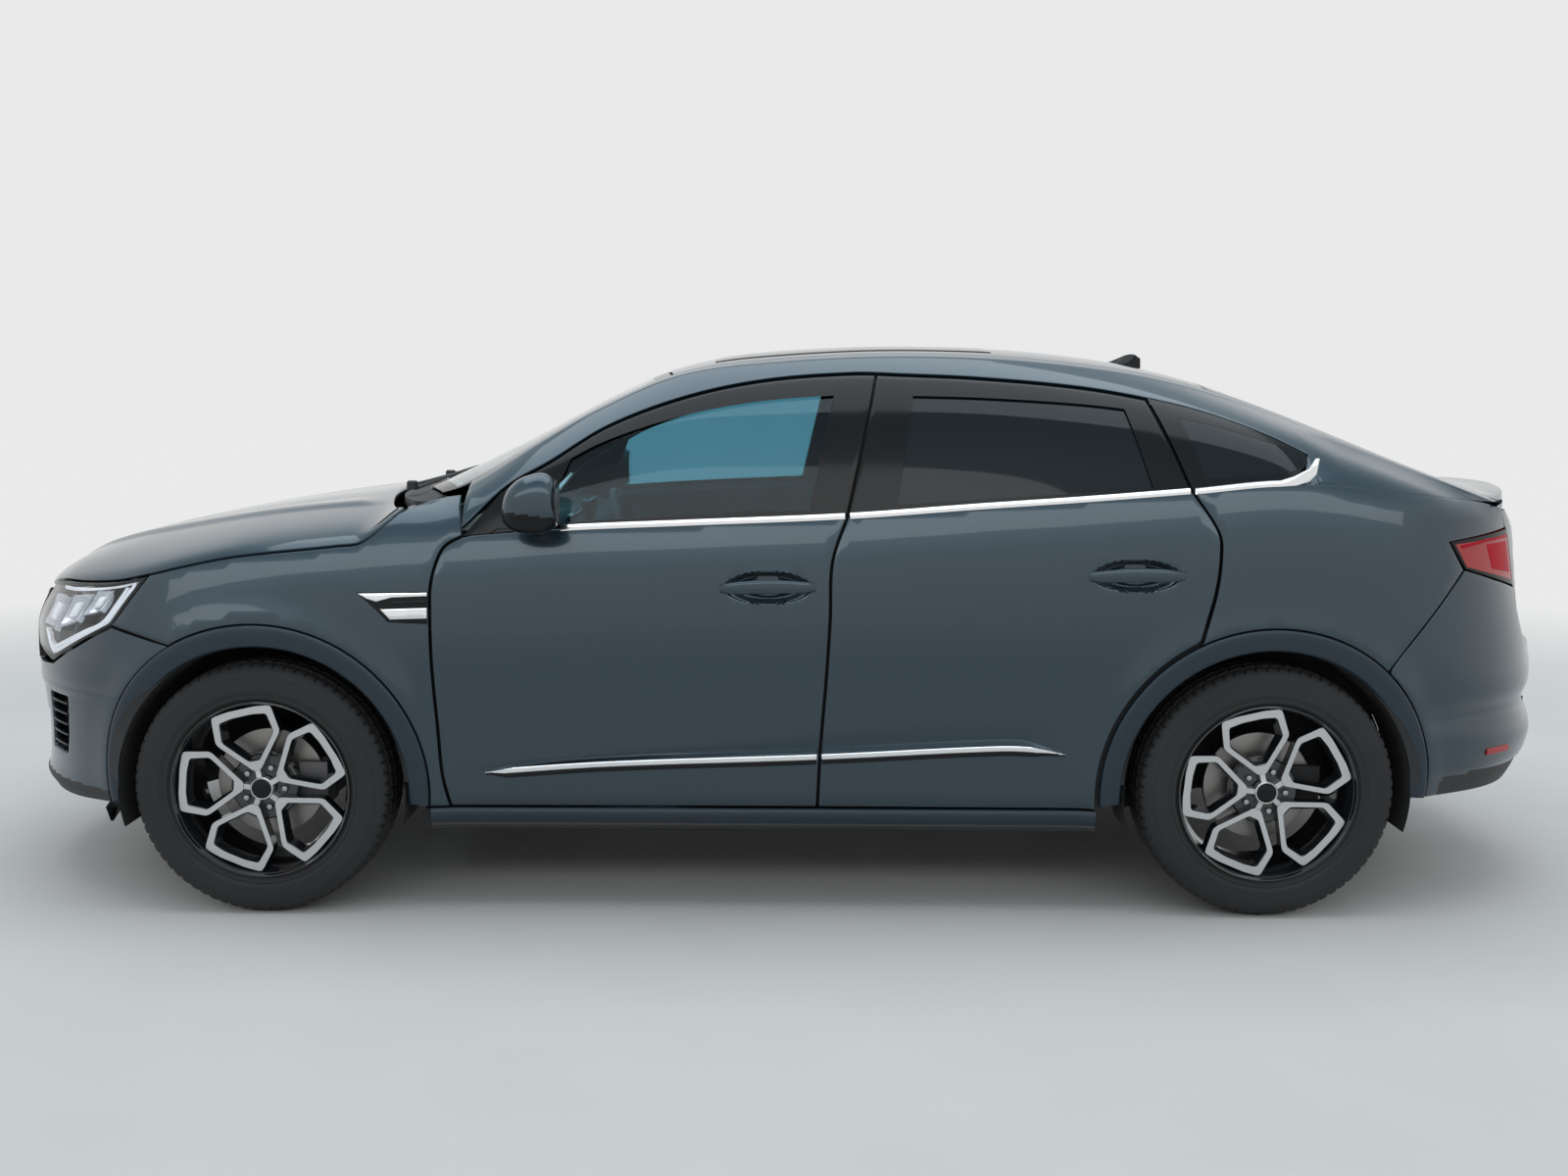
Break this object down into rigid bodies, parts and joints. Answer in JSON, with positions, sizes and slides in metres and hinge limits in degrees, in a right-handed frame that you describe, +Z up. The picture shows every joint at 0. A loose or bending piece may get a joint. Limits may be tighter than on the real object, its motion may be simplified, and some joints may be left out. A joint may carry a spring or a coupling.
{
  "type": "coupe sport utility vehicle",
  "caption": "Slate grey coupe sport utility vehicle with opening doors, bonnet and tailgate, steered front wheels and rolling alloy wheels.",
  "frame": {"origin": "on the ground, under the middle of the car's box", "axes": "+X from nose to tail, +Y from the car's left to its right, +Z up"},
  "size_m": [4.5658, 1.9946, 1.559],
  "materials": {
    "paint": "metallic slate grey-blue, gloss",
    "structure": "matt black",
    "glass": "tinted, polished",
    "lens": "clear, polished",
    "red_lens": "polished",
    "black_plastic": "fine grain",
    "cloth": "woven",
    "steel": "as cast",
    "alloy": "machined faces over gloss black",
    "tyre": "matt"
  },
  "bodies": {
    "body": {"floor_pan": "structure", "pillars": "structure", "side_rails": "paint", "quarter_panels": "paint", "fenders": "paint", "roof_panel": "paint", "fixed_glass": "glass", "front_bumper": "paint", "grilles": "black_plastic", "headlamps": "lens", "rear_bumper": "paint", "tail_lamps": "red_lens", "arch_trims": "paint", "wheel_liners": "black_plastic", "engine": "steel", "front_subframe": "structure", "rear_axle": "structure", "exhaust": "steel", "dashboard": "black_plastic", "front_seats": "cloth", "rear_bench": "cloth", "cowl": "black_plastic", "hinges": "steel"},
    "front_door_left": {"door_front_left": "paint", "glass_front_left": "glass", "mirror_left": "paint"},
    "rear_door_left": {"door_rear_left": "paint", "glass_rear_left": "glass"},
    "front_door_right": {"door_front_right": "paint", "glass_front_right": "glass", "mirror_right": "paint"},
    "rear_door_right": {"door_rear_right": "paint", "glass_rear_right": "glass"},
    "bonnet_lid": {"bonnet": "paint"},
    "tailgate_lid": {"tailgate": "paint", "tailgate_glass": "glass"},
    "steering": {"steering_wheel": "black_plastic"},
    "upright_left": {"knuckle_left": "steel"},
    "upright_right": {"knuckle_right": "steel"},
    "wheel_front_left": {"rim_front_left": "alloy", "tyre_front_left": "tyre"},
    "wheel_front_right": {"rim_front_right": "alloy", "tyre_front_right": "tyre"},
    "wheel_rear_left": {"rim_rear_left": "alloy", "tyre_rear_left": "tyre"},
    "wheel_rear_right": {"rim_rear_right": "alloy", "tyre_rear_right": "tyre"}
  },
  "joints": [
    {"name": "front_door_left_swing", "type": "hinge", "parent": "body", "child": "front_door_left", "pos_m": [-0.87504, -0.85985, 0.74], "axis": [0, 0, -1], "range_deg": [0, 65]},
    {"name": "rear_door_left_swing", "type": "hinge", "parent": "body", "child": "rear_door_left", "pos_m": [0.18815, -0.86111, 0.74], "axis": [0, 0, -1], "range_deg": [0, 65]},
    {"name": "front_door_right_swing", "type": "hinge", "parent": "body", "child": "front_door_right", "pos_m": [-0.87504, 0.85985, 0.74], "axis": [0, 0, 1], "range_deg": [0, 65]},
    {"name": "rear_door_right_swing", "type": "hinge", "parent": "body", "child": "rear_door_right", "pos_m": [0.18815, 0.86111, 0.74], "axis": [0, 0, 1], "range_deg": [0, 65]},
    {"name": "bonnet_lift", "type": "hinge", "parent": "body", "child": "bonnet_lid", "pos_m": [-1.018, 0, 1.098], "axis": [0, 1, 0], "range_deg": [0, 50]},
    {"name": "tailgate_lift", "type": "hinge", "parent": "body", "child": "tailgate_lid", "pos_m": [1.19, 0, 1.45888], "axis": [0, -1, 0], "range_deg": [0, 75]},
    {"name": "steer_left", "type": "hinge", "parent": "body", "child": "upright_left", "pos_m": [-1.416, -0.735, 0.347], "axis": [0, 0, 1], "range_deg": [-33, 33]},
    {"name": "steer_right", "type": "hinge", "parent": "body", "child": "upright_right", "pos_m": [-1.416, 0.735, 0.347], "axis": [0, 0, 1], "range_deg": [-33, 33]},
    {"name": "steering_turn", "type": "hinge", "parent": "body", "child": "steering", "pos_m": [-0.44, -0.372, 0.968], "axis": [0.9135, 0, 0.4067], "range_deg": [-462, 462]},
    {"name": "wheel_front_left_spin", "type": "hinge", "parent": "upright_left", "child": "wheel_front_left", "pos_m": [-1.416, -0.781, 0.347], "axis": [0, 1, 0], "continuous": true},
    {"name": "wheel_front_right_spin", "type": "hinge", "parent": "upright_right", "child": "wheel_front_right", "pos_m": [-1.416, 0.781, 0.347], "axis": [0, 1, 0], "continuous": true},
    {"name": "wheel_rear_left_spin", "type": "hinge", "parent": "body", "child": "wheel_rear_left", "pos_m": [1.305, -0.781, 0.347], "axis": [0, 1, 0], "continuous": true},
    {"name": "wheel_rear_right_spin", "type": "hinge", "parent": "body", "child": "wheel_rear_right", "pos_m": [1.305, 0.781, 0.347], "axis": [0, 1, 0], "continuous": true}
  ],
  "couplings": [
    {"joint": "steer_right", "follows": "steer_left", "ratio": 1},
    {"joint": "steering_turn", "follows": "steer_left", "ratio": 14}
  ]
}
